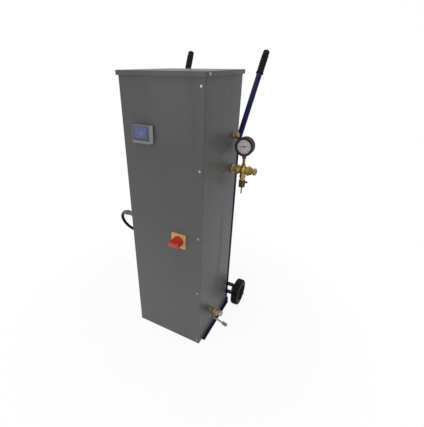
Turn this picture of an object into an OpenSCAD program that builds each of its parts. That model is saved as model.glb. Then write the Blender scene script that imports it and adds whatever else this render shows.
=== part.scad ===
// Electric water heater in a tall sheet-steel cabinet, carried on a two-wheeled hand-truck frame.
// Millimetres. The origin is on the floor under the middle of the cabinet, +Z is up,
// the control panel faces -Y and the water fittings are on the +X side.

/* [Cabinet] */
// Width of the cabinet, side to side
cabinet_width = 300; // [260:1:400]
// Depth of the cabinet, front to back
cabinet_depth = 290; // [260:1:400]
// Height from the floor to the top of the lid
cabinet_height = 1040; // [1000:1:1200]
// Thickness of the folded sheet steel
sheet = 1.5; // [1:0.1:2.5]
// Outside radius of the sheet's folds
fold_radius = 3; // [2.5:0.1:6]
// Width of the return flange that the overlapping panel is screwed to
flange_width = 24; // [16:1:40]
// Height of the lid's skirt
lid_skirt = 14; // [10:1:30]
// Reach of the lid past the cabinet's walls
lid_reach = 6; // [3:0.5:12]

/* [Controller] */
// Width of the temperature controller
controller_width = 68; // [50:1:110]
// Height of the temperature controller
controller_tall = 56; // [40:1:90]
// Depth that the controller stands out from the front
controller_depth = 20; // [10:1:40]
// Distance of the controller's middle from the cabinet's left side
controller_from_left = 87; // [60:1:120]
// Height of the controller's middle above the floor
controller_z = 858; // [700:1:940]
// Width of the frame round the controller's window
controller_frame = 3; // [2:0.5:12]
// Height of the bar under the controller's window
controller_foot = 8; // [3:0.5:16]
// Depth of the window below the frame
window_recess = 3; // [2:0.5:8]

/* [Isolator switch] */
// Side of the square isolator plate
isolator_side = 58; // [54:1:90]
// Thickness of the isolator plate
isolator_plate_thick = 4; // [2:0.5:8]
// Distance of the isolator's middle from the cabinet's left side
isolator_from_left = 210; // [120:1:230]
// Height of the isolator's middle above the floor
isolator_z = 490; // [350:1:640]
// Diameter of the isolator's knob
knob_diameter = 40; // [34:1:50]
// Depth of the knob from the plate to the top of its grip
knob_depth = 36; // [24:1:52]
// Width of the knob's grip bar
knob_grip = 14; // [10:1:24]
// Diameter of the knob's spindle
spindle_diameter = 8; // [5:0.5:12]

/* [Water outlet] */
// Distance of the outlet's axis from the cabinet's front
outlet_from_front = 246; // [180:1:255]
// Height of the outlet's axis above the floor
outlet_z = 705; // [600:1:720]
// Outside diameter of the pipe nipples
pipe_diameter = 21; // [16:0.5:26]
// Diameter of the waterway through the fittings
waterway = 14; // [8:0.5:15]
// Distance of the tee's middle from the cabinet's side
tee_reach = 45; // [40:1:60]
// Half length of the tee along the outlet
tee_half = 26; // [22:1:30]
// Distance from the outlet's axis to the end of the tee's lower port
tee_port = 27; // [24:1:36]
// Distance from the outlet's axis to the end of the tee's gauge port
gauge_port = 20; // [18:1:30]
// Width across the flats of the tee's ends
tee_flats = 32; // [28:0.5:40]
// Length of the outlet spigot past the tee
spigot_length = 24; // [22:1:60]

/* [Pressure gauge] */
// Diameter of the pressure gauge
gauge_diameter = 68; // [50:1:76]
// Depth of the gauge's case
gauge_depth = 32; // [22:1:40]
// Width of the gauge's rim round the dial
gauge_rim = 7; // [4:0.5:10]
// Height of the gauge's middle above the outlet's axis
gauge_rise = 89; // [78:1:96]
// Thickness of the dial and of the glass
dial_thick = 1.2; // [0.8:0.1:2]

/* [Relief valve] */
// Diameter of the relief valve's cap
relief_cap_diameter = 24; // [20:1:34]
// Height of the relief valve's cap
relief_cap_tall = 26; // [16:1:34]
// Diameter of the relief valve's spindle
relief_pin = 5; // [3:0.5:7]
// Length of spindle that shows under the cap
relief_pin_length = 28; // [8:1:40]
// Height of the relief valve's neck between the tee and the cap
relief_neck = 12; // [6:0.5:20]

/* [Blanking plug] */
// Height of the blanking plug above the floor
plug_z = 829; // [829:1:900]
// Width across the flats of the blanking plug
plug_flats = 22; // [16:1:26]

/* [Water inlet] */
// Distance of the inlet's axis from the cabinet's front
inlet_from_front = 83; // [83:1:150]
// Height of the inlet's axis above the floor
inlet_z = 130; // [110:1:200]
// Length of the inlet valve's body outside the locknut
inlet_body_length = 42; // [38:1:60]
// Width across the flats of the inlet valve's ends
inlet_flats = 28; // [26:0.5:34]
// Length of the inlet valve's lever from its spindle
lever_length = 64; // [40:1:76]
// Drop of the lever below the valve's axis at its spindle
lever_drop = 39; // [32:1:45]

/* [Cable] */
// Height of the upper cable gland above the floor
upper_gland_z = 529; // [500:1:600]
// Height of the lower cable gland above the floor
lower_gland_z = 436; // [390:1:450]
// Distance of the upper cable gland from the cabinet's front
upper_gland_from_front = 30; // [24:1:120]
// Distance of the lower cable gland from the cabinet's front
lower_gland_from_front = 60; // [24:1:120]
// Width across the flats of the cable glands
gland_flats = 25; // [20:1:30]
// Length of the cable glands outside the cabinet
gland_length = 40; // [34:1:50]
// Diameter of the cable
cable_diameter = 12; // [8:0.5:14]

/* [Hand truck] */
// Outside diameter of the frame's tubes
rail_diameter = 21; // [18:0.5:26]
// Gap between the cabinet's back and the rails
rail_standoff = 9; // [2:0.5:10]
// Height at which the rails start to bend back into the handles
rail_bend_z = 761; // [740:1:800]
// Radius of that bend, to the middle of the tube
rail_bend_radius = 60; // [40:1:100]
// Angle that the handles lean back
handle_lean = 30.5; // [15:0.5:40]
// Angle that the handles turn outwards, seen from above
handle_turn = 7.3; // [0:0.1:12]
// Length of the straight handles
handle_length = 352; // [320:1:400]
// Length of the rubber grips
grip_length = 88; // [70:1:140]
// Thickness of the rubber on the grips
grip_thick = 1.6; // [1:0.1:4]
// Thickness of the toe plate
toe_thick = 5; // [4:0.5:10]
// Reach of the toe plate past each side of the cabinet
toe_reach = 14; // [4:0.5:20]
// Distance from the cabinet's front to the start of that reach
toe_setback = 28; // [10:1:80]
// Height of the upper crossbar above the floor
upper_crossbar_z = 690; // [500:1:730]
// Height of the middle crossbar above the floor
middle_crossbar_z = 400; // [200:1:480]
// Diameter of the crossbars
crossbar_diameter = 18; // [14:0.5:20]

/* [Wheels] */
// Diameter of the wheels
wheel_diameter = 125; // [110:1:150]
// Width of the tyres
tyre_width = 32; // [24:1:50]
// Gap between the cabinet's side and the tyre
wheel_gap = 35; // [31:1:50]
// Distance of the axle's middle behind the rails' middle
axle_setback = 10; // [6:0.5:12]
// Diameter of the axle's journal
axle_diameter = 15; // [10:0.5:18]
// Diameter of the axle's shoulder
shoulder_diameter = 20; // [18:0.5:28]
// Width of the flat bar of the wheel brackets
bracket_width = 28; // [22:1:40]
// Thickness of the flat bar of the wheel brackets
bracket_thick = 5; // [3:0.5:8]
// Height of the wheel bracket's upper arm above the axle
bracket_rise = 30; // [26:1:50]

/* [Hidden] */
$fn = 64;

// Clearances: a part in its hole, a part that turns on a pin, and a part that turns beside a face
hole_clearance = 0.5;
push_clearance = 0.1;
running_clearance = 0.05;
turning_gap = 0.4;

// Planes of the cabinet
side_x = cabinet_width / 2;
front_y = -cabinet_depth / 2;
back_y = cabinet_depth / 2;
panel_top = cabinet_height - sheet;
panel_foot = 1;
toe_inset = 6;

// Places of the fittings
controller_x = controller_from_left - side_x;
window_wide = controller_width - 2 * controller_frame;
window_tall = controller_tall - controller_frame - controller_foot;
isolator_x = isolator_from_left - side_x;
outlet_y = front_y + outlet_from_front;
inlet_y = front_y + inlet_from_front;
tee_x = side_x + tee_reach;
gauge_z = outlet_z + gauge_rise;

// Frame and wheels
rail_r = rail_diameter / 2;
rail_x = side_x - rail_r;
rail_y = back_y + rail_standoff + rail_r;
crossbar_y = back_y + crossbar_diameter / 2;
axle_y = rail_y + axle_setback;
axle_z = wheel_diameter / 2;
tyre_inner_x = side_x + wheel_gap;
bracket_x = tyre_inner_x - 6;
boss_inner_x = bracket_x + turning_gap;
boss_outer_x = tyre_inner_x + tyre_width + 4;
cap_depth = 7;

// Fittings
locknut_thick = 6;
nut_gap = 2;
pipe_inside = 10;
socket_depth = 11;
stem_diameter = 10;
stem_socket = 9;
relief_body_diameter = 16;
valve_bore_depth = 20;
lever_thick = 2.5;
lever_slope = 17;
lever_width = 13;
lever_neck_width = 8;
lever_spindle = 7;
lever_flat = 9;
lever_boss_gap = 8;
spindle_stop = waterway / 2 + 2;
sleeve_end = 5;
grip_box = [23, 12, 8];

// Middle line of the cable: half a turn from the upper gland to the lower one
cable_sides = 12;
cable_steps = 16;
cable_radius = (upper_gland_z - lower_gland_z) / 2;
cable_route = [
    for (i = [0 : cable_steps])
        let (turn = 90 - i * 180 / cable_steps)
        let (share = (1 - sin(turn)) / 2)
        [
            -side_x - gland_length - cable_radius * cos(turn),
            front_y + upper_gland_from_front + share * (lower_gland_from_front - upper_gland_from_front),
            lower_gland_z + cable_radius * (1 + sin(turn)),
        ]
];
gland_places = [cable_route[0], cable_route[cable_steps]];
gland_thread = gland_flats - 5;

// ---------- shared shapes ----------

// A flat rounded rectangle about the origin
module rounded_rectangle(wide, tall, radius) {
    square([wide - 2 * radius, tall], center = true);
    square([wide, tall - 2 * radius], center = true);
    for (x = [-1, 1], y = [-1, 1])
        translate([x * (wide / 2 - radius), y * (tall / 2 - radius)])
            circle(r = radius);
}

// A rod along +X from the origin
module rod_x(diameter, length) {
    rotate([0, 90, 0])
        cylinder(d = diameter, h = length);
}

// A hexagonal bar along +X from the origin, with a flat on top
module hex_x(flats, length) {
    rotate([0, 90, 0])
        rotate([0, 0, 30])
            cylinder(d = flats / cos(30), h = length, $fn = 6);
}

// A turned hexagon along +X: its corners are chamfered the way a lathe leaves them
module turned_hex_x(flats, length) {
    corner = flats / cos(30);
    chamfer = (corner - flats) / 2;
    intersection() {
        hex_x(flats, length);
        rotate([0, 90, 0])
            rotate_extrude()
                polygon([
                    [0, 0], [flats / 2, 0], [corner / 2, chamfer],
                    [corner / 2, length - chamfer], [flats / 2, length], [0, length],
                ]);
    }
}

// Mirrors what is made for the +X side to the other side when side is -1
module on_side(side) {
    if (side < 0) {
        mirror([1, 0, 0])
            children();
    } else {
        children();
    }
}

// ---------- hand truck ----------

// Steel plate under the cabinet: inside the panels' foot at the front, then wider than the
// cabinet, which stands on it, and on to the rails
module toe_plate() {
    wide_y = front_y + toe_setback;
    stop_y = rail_y + rail_r + 2;
    color("midnightblue")
        linear_extrude(toe_thick) {
            translate([-side_x + toe_inset, front_y + toe_inset])
                square([cabinet_width - 2 * toe_inset, toe_setback]);
            translate([0, (wide_y + stop_y) / 2])
                rounded_rectangle(cabinet_width + 2 * toe_reach, stop_y - wide_y, 6);
        }
}

// Places its children in the plane of the rail's bend, about the middle of the bend
module at_bend() {
    translate([rail_x, rail_y, rail_bend_z])
        rotate([0, 0, -handle_turn])
            translate([0, rail_bend_radius, 0])
                rotate([90, 0, -90])
                    children();
}

// Places its children along the handle's axis, at the end of the bend
module at_handle() {
    at_bend()
        rotate([0, 0, handle_lean])
            translate([rail_bend_radius, 0, 0])
                rotate([-90, 0, 0])
                    children();
}

module rail() {
    straight = rail_bend_z - toe_thick;
    reach = rail_bend_radius + rail_diameter;
    at_bend() {
        translate([rail_bend_radius, -straight, 0])
            rotate([-90, 0, 0])
                cylinder(r = rail_r, h = straight);
        intersection() {
            rotate_extrude()
                translate([rail_bend_radius, 0])
                    circle(r = rail_r);
            translate([0, 0, -reach])
                cube([reach, reach, 2 * reach]);
            rotate([0, 0, handle_lean])
                translate([0, -reach, -reach])
                    cube([reach, reach, 2 * reach]);
        }
    }
    at_handle()
        cylinder(r = rail_r, h = handle_length);
}

// A moulded rubber grip: a flange, finger ribs and a closed round end
module grip() {
    rib_pitch = 8;
    outer = rail_r + grip_thick;
    inner = rail_r + push_clearance;
    end_thick = 4;
    at_handle()
        translate([0, 0, handle_length - grip_length + end_thick])
            rotate_extrude()
                difference() {
                    union() {
                        square([outer, grip_length - 3]);
                        square([outer - 3, grip_length]);
                        translate([outer - 3, grip_length - 3])
                            circle(r = 3);
                        translate([inner, 0])
                            square([grip_thick + 2, 4]);
                        for (z = [12 : rib_pitch : grip_length - 14])
                            translate([outer - 0.6, z])
                                circle(r = 1.8);
                    }
                    translate([-1, -1])
                        square([inner + 1, grip_length - end_thick + push_clearance + 1]);
                }
}

module crossbar(z) {
    color("midnightblue")
        difference() {
            translate([-rail_x, crossbar_y, z])
                rod_x(crossbar_diameter, 2 * rail_x);
            for (x = [-rail_x, rail_x])
                translate([x, rail_y, z - crossbar_diameter])
                    cylinder(r = rail_r, h = 2 * crossbar_diameter);
        }
}

// The rails' outline near the axle, cut from what is welded to them
module rail_seats() {
    for (x = [-rail_x, rail_x])
        translate([x, rail_y, 0])
            cylinder(r = rail_r, h = 2 * axle_z + bracket_rise);
}

module lower_crossbar() {
    color("midnightblue")
        difference() {
            translate([-rail_x, axle_y, axle_z])
                rod_x(shoulder_diameter, 2 * rail_x);
            rail_seats();
        }
}

// The stub axle: a shoulder saddled on the rail, then the wheel's journal
module axle() {
    difference() {
        union() {
            translate([rail_x, axle_y, axle_z])
                rod_x(shoulder_diameter, bracket_x - bracket_thick - rail_x);
            translate([rail_x + rail_r, axle_y, axle_z])
                rod_x(axle_diameter, boss_outer_x + cap_depth - 3 - rail_x - rail_r);
        }
        rail_seats();
    }
}

// A flat bar bent down beside the wheel, with the axle through its round end
module wheel_bracket() {
    arm_z = axle_z + bracket_rise;
    inner_x = bracket_x - bracket_thick;
    bend = bracket_thick + 3;
    difference() {
        union() {
            translate([rail_x, axle_y - bracket_width / 2, arm_z - bracket_thick])
                cube([bracket_x - bend - rail_x, bracket_width, bracket_thick]);
            translate([bracket_x - bend, axle_y - bracket_width / 2, arm_z - bend])
                intersection() {
                    rotate([-90, 0, 0])
                        difference() {
                            cylinder(r = bend, h = bracket_width);
                            translate([0, 0, -1])
                                cylinder(r = bend - bracket_thick, h = bracket_width + 2);
                        }
                    cube([bend + 1, bracket_width, bend + 1]);
                }
            translate([inner_x, axle_y - bracket_width / 2, axle_z])
                cube([bracket_thick, bracket_width, bracket_rise - bend]);
            translate([inner_x, axle_y, axle_z])
                rod_x(bracket_width, bracket_thick);
        }
        translate([inner_x - 1, axle_y, axle_z])
            rod_x(axle_diameter + 2 * push_clearance, bracket_thick + 2);
        rail_seats();
    }
}

module axle_cap() {
    rim = axle_diameter / 2 + 5;
    color("dimgray")
        translate([boss_outer_x + turning_gap, axle_y, axle_z])
            rotate([0, 90, 0])
                rotate_extrude()
                    difference() {
                        union() {
                            square([rim, 2]);
                            square([rim - 3, cap_depth - 2]);
                            square([rim - 5, cap_depth]);
                            translate([rim - 5, cap_depth - 2])
                                circle(r = 2);
                        }
                        translate([-1, -1])
                            square([axle_diameter / 2 + push_clearance + 1, cap_depth - 2]);
                    }
}

// Solid rubber tyre with rounded shoulders and two tread grooves
module tyre() {
    outer = wheel_diameter / 2;
    seat = hub_radius();
    shoulder = 7;
    groove = 2.4;
    color("#202122")
        translate([tyre_inner_x, axle_y, axle_z])
            rotate([0, 90, 0])
                rotate_extrude($fn = 96)
                    difference() {
                        union() {
                            translate([seat, 0])
                                square([outer - shoulder - seat, tyre_width]);
                            translate([seat, shoulder])
                                square([outer - seat, tyre_width - 2 * shoulder]);
                            for (z = [shoulder, tyre_width - shoulder])
                                translate([outer - shoulder, z])
                                    circle(r = shoulder);
                        }
                        for (z = [tyre_width / 2 - 4.5, tyre_width / 2 + 4.5])
                            translate([outer - groove, z - groove / 2])
                                square([2 * groove, groove]);
                    }
}

function hub_radius() = wheel_diameter * 0.33;

// Moulded hub: a rim, a thin web, a long boss and radial ribs
module hub() {
    rim_thick = 5;
    web = 6;
    boss_r = axle_diameter / 2 + 6;
    rim_wide = tyre_width - 4;
    ribs = 6;
    rib_thick = 4;
    middle = tyre_inner_x + tyre_width / 2;
    color("#2b2c2e")
        translate([middle, axle_y, axle_z])
            difference() {
                union() {
                    rotate([0, 90, 0])
                        rotate_extrude($fn = 96) {
                            translate([hub_radius() - rim_thick, -rim_wide / 2])
                                square([rim_thick - push_clearance, rim_wide]);
                            translate([0, -web / 2])
                                square([hub_radius() - 1, web]);
                        }
                    translate([boss_inner_x - middle, 0, 0])
                        rod_x(2 * boss_r, boss_outer_x - boss_inner_x);
                    for (i = [0 : ribs - 1])
                        rotate([i * 360 / ribs, 0, 0])
                            translate([-rim_wide / 2 + 3, -rib_thick / 2, boss_r - 2])
                                cube([rim_wide - 6, rib_thick, hub_radius() - boss_r - 1]);
                }
                translate([boss_inner_x - middle - 1, 0, 0])
                    rod_x(axle_diameter + 2 * running_clearance, boss_outer_x - boss_inner_x + 2);
            }
}

// ---------- cabinet ----------

// A quarter ring of folded sheet about the origin, in the -X -Y quarter
module fold() {
    intersection() {
        difference() {
            circle(r = fold_radius);
            circle(r = fold_radius - sheet);
        }
        translate([-fold_radius, -fold_radius])
            square(fold_radius);
    }
}

// The outline of a wrap-round panel: front face, one side, and the return flange behind the
// other panel. Turned half round, the same outline makes the back and the other side.
module wrap_outline() {
    flange_y = back_y - sheet - push_clearance;
    translate([-side_x + fold_radius, front_y])
        square([cabinet_width - fold_radius - push_clearance, sheet]);
    translate([-side_x + fold_radius, front_y + fold_radius])
        fold();
    translate([-side_x, front_y + fold_radius])
        square([sheet, flange_y - front_y - 2 * fold_radius]);
    translate([-side_x + fold_radius, flange_y - fold_radius])
        mirror([0, 1])
            fold();
    translate([-side_x + fold_radius, flange_y - sheet])
        square([flange_width - fold_radius, sheet]);
}

module wrap_panel() {
    translate([0, 0, panel_foot])
        linear_extrude(panel_top - panel_foot)
            wrap_outline();
}

// The room that the panels leave for the toe plate where it passes under them
module toe_notch() {
    translate([-cabinet_width, front_y + toe_setback - push_clearance, 0])
        cube([2 * cabinet_width, 2 * cabinet_depth, toe_thick]);
}

module front_left_panel() {
    color("#57595c")
        difference() {
            wrap_panel();
            toe_notch();
            translate([isolator_x, front_y - 1, isolator_z])
                rotate([-90, 0, 0])
                    cylinder(d = spindle_diameter + 4, h = sheet + 2);
            for (gland = gland_places)
                translate([-side_x - 1, gland[1], gland[2]])
                    rod_x(gland_thread + 2 * hole_clearance, sheet + 2);
        }
}

module back_right_panel() {
    color("#4f5154")
        difference() {
            rotate([0, 0, 180])
                wrap_panel();
            toe_notch();
            for (hole = [[outlet_y, outlet_z], [inlet_y, inlet_z], [outlet_y, plug_z]])
                translate([side_x - sheet - 1, hole[0], hole[1]])
                    rod_x(pipe_diameter + 2 * hole_clearance, sheet + 2);
        }
}

module lid() {
    color("#4b4d50")
        difference() {
            translate([0, 0, cabinet_height - lid_skirt])
                linear_extrude(lid_skirt)
                    rounded_rectangle(
                        cabinet_width + 2 * lid_reach, cabinet_depth + 2 * lid_reach, fold_radius + 1
                    );
            translate([0, 0, cabinet_height - lid_skirt - 1])
                linear_extrude(lid_skirt - sheet + 1)
                    rounded_rectangle(
                        cabinet_width + 2 * (lid_reach - sheet),
                        cabinet_depth + 2 * (lid_reach - sheet),
                        fold_radius + 1 - sheet
                    );
        }
}

// ---------- controls ----------

// Stands its children, drawn flat, on the cabinet's front, growing towards -Y
module on_front(x, z) {
    translate([x, front_y, z])
        rotate([90, 0, 0])
            children();
}

// Stands its children at the floor of the controller's window
module at_window() {
    on_front(controller_x, controller_z + (controller_foot - controller_frame) / 2)
        translate([0, 0, controller_depth - window_recess - dial_thick])
            children();
}

module controller_housing() {
    color("silver")
        difference() {
            on_front(controller_x, controller_z)
                linear_extrude(controller_depth)
                    rounded_rectangle(controller_width, controller_tall, 4);
            at_window()
                linear_extrude(controller_depth)
                    rounded_rectangle(window_wide, window_tall, 2);
        }
}

module controller_screen() {
    color("slateblue")
        at_window()
            linear_extrude(dial_thick)
                rounded_rectangle(
                    window_wide - 2 * push_clearance, window_tall - 2 * push_clearance, 2
                );
}

module isolator_plate() {
    color("khaki")
        on_front(isolator_x, isolator_z)
            difference() {
                union() {
                    linear_extrude(isolator_plate_thick)
                        rounded_rectangle(isolator_side, isolator_side, 4);
                    cylinder(d = knob_diameter + 6, h = isolator_plate_thick + 1.5);
                }
                translate([0, 0, isolator_plate_thick])
                    cylinder(d = knob_diameter + 2, h = 3);
                translate([0, 0, -1])
                    cylinder(d = spindle_diameter + 2 * running_clearance, h = isolator_plate_thick + 2);
            }
}

// Round skirt, a level grip bar with hollowed flanks, and the spindle through the plate
module isolator_knob() {
    skirt = 11;
    scoop = 34;
    color("#b8321f")
        on_front(isolator_x, isolator_z) {
            translate([0, 0, isolator_plate_thick + turning_gap]) {
                difference() {
                    cylinder(d = knob_diameter, h = knob_depth - turning_gap);
                    for (side = [-1, 1]) {
                        translate([0, side * (knob_grip / 2 + scoop), skirt + scoop / 4])
                            cylinder(r = scoop, h = knob_depth);
                        translate([0, side * (knob_grip / 2 + 2 + scoop), skirt])
                            cylinder(r = scoop, h = knob_depth);
                    }
                }
            }
            translate([0, 0, -6])
                cylinder(d = spindle_diameter, h = isolator_plate_thick + 8);
        }
}

// ---------- outlet ----------

module outlet_locknut() {
    color("#b08d3c")
        translate([side_x, outlet_y, outlet_z])
            locknut();
}

module locknut() {
    difference() {
        turned_hex_x(pipe_diameter + 9, locknut_thick);
        translate([-1, 0, 0])
            rod_x(pipe_diameter + 2 * push_clearance, locknut_thick + 2);
    }
}

module outlet_nipple() {
    start = side_x - pipe_inside;
    stop = tee_x - tee_half + socket_depth - push_clearance;
    color("#a8853a")
        translate([start, outlet_y, outlet_z])
            difference() {
                rod_x(pipe_diameter, stop - start);
                translate([-1, 0, 0])
                    rod_x(waterway, stop - start + 2);
            }
}

// Four-way brass fitting: hexagon ends along the outlet, round ports up and down
module outlet_tee() {
    collar = 10;
    barrel = tee_flats - 4;
    port = relief_body_diameter + 8;
    color("#b5913f")
        translate([tee_x, outlet_y, outlet_z])
            difference() {
                union() {
                    translate([-tee_half, 0, 0])
                        turned_hex_x(tee_flats, collar);
                    translate([tee_half - collar, 0, 0])
                        turned_hex_x(tee_flats, collar);
                    translate([-tee_half + 1, 0, 0])
                        rod_x(barrel, 2 * tee_half - 2);
                    sphere(d = tee_flats);
                    translate([0, 0, -tee_port])
                        cylinder(d = port - 3, h = tee_port);
                    translate([0, 0, -tee_port])
                        cylinder(d = port, h = 6);
                    cylinder(d = stem_diameter + 8, h = gauge_port);
                }
                translate([-tee_half - 1, 0, 0])
                    rod_x(waterway, 2 * tee_half + 2);
                for (side = [-1, 1])
                    translate([side < 0 ? -tee_half - 1 : tee_half - socket_depth, 0, 0])
                        rod_x(pipe_diameter + 2 * push_clearance, socket_depth + 1);
                translate([0, 0, gauge_port - stem_socket])
                    cylinder(d = stem_diameter + 2 * push_clearance, h = stem_socket + 1);
                translate([0, 0, -tee_port - 1])
                    cylinder(d = relief_body_diameter + 2 * push_clearance, h = stem_socket + 1);
            }
}

// Open-ended male spigot with a hexagon and thread rings
module outlet_spigot() {
    inset = socket_depth - push_clearance;
    hex = 7;
    start = tee_x + tee_half - inset;
    length = inset + spigot_length;
    head = pipe_diameter / 2 + 2.5;
    color("#a8853a")
        translate([start, outlet_y, outlet_z])
            difference() {
                union() {
                    rod_x(pipe_diameter, inset);
                    translate([inset + push_clearance, 0, 0])
                        turned_hex_x(pipe_diameter + 5, hex);
                    rotate([0, 90, 0])
                        rotate_extrude() {
                            square([pipe_diameter / 2 - 1, length]);
                            for (z = [inset + hex + 3 : 3 : length - 11])
                                translate([pipe_diameter / 2 - 1.4, z])
                                    circle(r = 1.2);
                            translate([0, length - 9])
                                square([head, 7]);
                            translate([0, length - 9])
                                square([head - 2, 9]);
                            translate([head - 2, length - 2])
                                circle(r = 2);
                        }
                }
                translate([-1, 0, 0])
                    rod_x(waterway, length + 2);
            }
}

module gauge_stem() {
    foot = outlet_z + gauge_port - stem_socket + push_clearance;
    top = gauge_z - gauge_diameter / 2 - 2;
    hex_tall = 9;
    color("#8f7434")
        translate([tee_x, outlet_y, foot]) {
            cylinder(d = stem_diameter, h = top - foot);
            translate([0, 0, top - foot - hex_tall])
                cylinder(d = (stem_diameter + 4) / cos(30), h = hex_tall, $fn = 6);
        }
}

// Places its children with +Z out of the gauge's face, at the back of the case
module at_gauge() {
    translate([tee_x, outlet_y + gauge_depth / 2, gauge_z])
        rotate([90, 0, 0])
            children();
}

dial_radius = gauge_diameter / 2 - gauge_rim;
dial_level = gauge_depth - 8;
glass_level = gauge_depth - 3;

module gauge_case() {
    outer = gauge_diameter / 2;
    back_round = 4;
    rim = 6;
    color("#231b1d")
        difference() {
            union() {
                at_gauge()
                    rotate_extrude($fn = 96) {
                        square([outer - 1 - back_round, gauge_depth - rim]);
                        translate([0, back_round])
                            square([outer - 1, gauge_depth - rim - back_round]);
                        translate([outer - 1 - back_round, back_round])
                            circle(r = back_round);
                        translate([0, gauge_depth - rim])
                            square([outer, rim - 1]);
                        translate([0, gauge_depth - rim])
                            square([outer - 1, rim]);
                        translate([outer - 1, gauge_depth - 1])
                            circle(r = 1);
                    }
                translate([tee_x, outlet_y, gauge_z - outer - 2])
                    cylinder(d = stem_diameter + 3, h = 8);
            }
            at_gauge()
                translate([0, 0, dial_level])
                    cylinder(r = dial_radius + push_clearance, h = gauge_depth, $fn = 96);
        }
}

module gauge_dial() {
    color("#e6dcda")
        at_gauge()
            translate([0, 0, dial_level])
                cylinder(r = dial_radius, h = dial_thick, $fn = 96);
}

module gauge_needle() {
    needle_thick = 0.8;
    reach = dial_radius * 0.72;
    color("black")
        at_gauge()
            translate([0, 0, dial_level + dial_thick])
                rotate([0, 0, 96]) {
                    cylinder(r = 3, h = glass_level - dial_level - dial_thick);
                    linear_extrude(needle_thick)
                        polygon([[-1.6, -9], [1.6, -9], [0.4, reach], [-0.4, reach]]);
                }
}

module gauge_glass() {
    color("lightcyan", 0.4)
        at_gauge()
            translate([0, 0, glass_level])
                cylinder(r = dial_radius, h = dial_thick, $fn = 96);
}

// ---------- relief valve ----------

relief_top = outlet_z - tee_port;
cap_top = relief_top - relief_neck - turning_gap;

module relief_valve_body() {
    color("#b5913f")
        translate([tee_x, outlet_y, relief_top - relief_neck])
            difference() {
                union() {
                    cylinder(d = relief_body_diameter, h = relief_neck + stem_socket - push_clearance);
                    cylinder(d = (relief_body_diameter + 2) / cos(30), h = relief_neck - 2, $fn = 6);
                }
                translate([0, 0, -1])
                    cylinder(d = relief_pin + 2 * push_clearance, h = relief_neck);
            }
}

// Fluted cap with a small pointer lug
module relief_valve_cap() {
    flutes = 12;
    radius = relief_cap_diameter / 2;
    color("#3f3b1e")
        translate([tee_x, outlet_y, cap_top - relief_cap_tall])
            difference() {
                union() {
                    cylinder(r = radius, h = relief_cap_tall);
                    translate([0, -2.5, relief_cap_tall - 9])
                        cube([radius + 7, 5, 6]);
                    translate([radius + 7, 0, relief_cap_tall - 9])
                        cylinder(r = 2.5, h = 6);
                }
                for (i = [0 : flutes - 1])
                    rotate([0, 0, (i + 0.5) * 360 / flutes])
                        translate([radius + 1.2, 0, -1])
                            cylinder(r = 2.4, h = relief_cap_tall - 11);
                translate([0, 0, -1])
                    cylinder(d = relief_pin + 2 * running_clearance, h = relief_cap_tall + 2);
            }
}

module relief_valve_spindle() {
    below = relief_pin_length;
    collar = 2;
    color("#4a4326")
        translate([tee_x, outlet_y, cap_top - relief_cap_tall - below]) {
            cylinder(d = relief_pin, h = below + relief_cap_tall + turning_gap + relief_neck - 2);
            translate([0, 0, below - collar - turning_gap])
                cylinder(d = relief_pin + 4, h = collar);
        }
}

module blanking_plug() {
    washer = 3;
    hex_long = 12;
    color("#b08d3c")
        translate([side_x, outlet_y, plug_z]) {
            rotate([0, 90, 0])
                rotate_extrude()
                    polygon([
                        [0, -pipe_inside], [pipe_diameter / 2, -pipe_inside], [pipe_diameter / 2, 0],
                        [plug_flats / 2 + 3, 0], [plug_flats / 2 + 3, washer - 0.6],
                        [plug_flats / 2 + 2.4, washer], [plug_flats / 2 - 1, washer],
                        [plug_flats / 2 - 1, washer + hex_long], [plug_flats / 2 - 4, washer + hex_long + 3],
                        [0, washer + hex_long + 3],
                    ]);
            translate([washer / 2, 0, 0])
                turned_hex_x(plug_flats, hex_long + washer / 2);
        }
}

// ---------- inlet ----------

inlet_body_x = side_x + locknut_thick;
spindle_x = inlet_body_x + inlet_body_length / 2;
lever_z = inlet_z - lever_drop;
gland_nut_flats = lever_spindle + 7;

module inlet_locknut() {
    color("#b08d3c")
        translate([side_x, inlet_y, inlet_z])
            locknut();
}

// Ball-valve body: nipple through the panel, hexagon ends, round belly, spindle boss below
module inlet_valve_body() {
    hex = 9;
    belly = inlet_flats - 1;
    boss_drop = lever_drop - lever_thick - lever_boss_gap;
    color("#b5913f")
        difference() {
            union() {
                translate([side_x - pipe_inside, inlet_y, inlet_z])
                    rod_x(pipe_diameter, pipe_inside + locknut_thick + nut_gap);
                translate([inlet_body_x + nut_gap, inlet_y, inlet_z])
                    turned_hex_x(inlet_flats, hex);
                translate([inlet_body_x + nut_gap + 1, inlet_y, inlet_z])
                    rod_x(inlet_flats - 5, inlet_body_length - nut_gap - 2);
                translate([inlet_body_x + inlet_body_length - hex, inlet_y, inlet_z])
                    turned_hex_x(inlet_flats, hex);
                translate([spindle_x, inlet_y, inlet_z])
                    sphere(d = belly);
                translate([spindle_x, inlet_y, inlet_z - boss_drop])
                    cylinder(d = gland_nut_flats, h = boss_drop);
                translate([spindle_x, inlet_y, inlet_z - boss_drop])
                    cylinder(d = gland_nut_flats / cos(30), h = 6, $fn = 6);
            }
            translate([inlet_body_x + inlet_body_length - valve_bore_depth, inlet_y, inlet_z])
                rod_x(waterway, valve_bore_depth + 1);
            translate([spindle_x, inlet_y, inlet_z - boss_drop - 1])
                cylinder(d = lever_spindle + 2 * running_clearance, h = boss_drop + 1 - spindle_stop);
        }
}

// Places its children along the cranked arm of the lever, where the crank starts
module at_crank() {
    translate([spindle_x + lever_flat, inlet_y, lever_z])
        rotate([0, lever_slope, 0])
            children();
}

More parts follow.
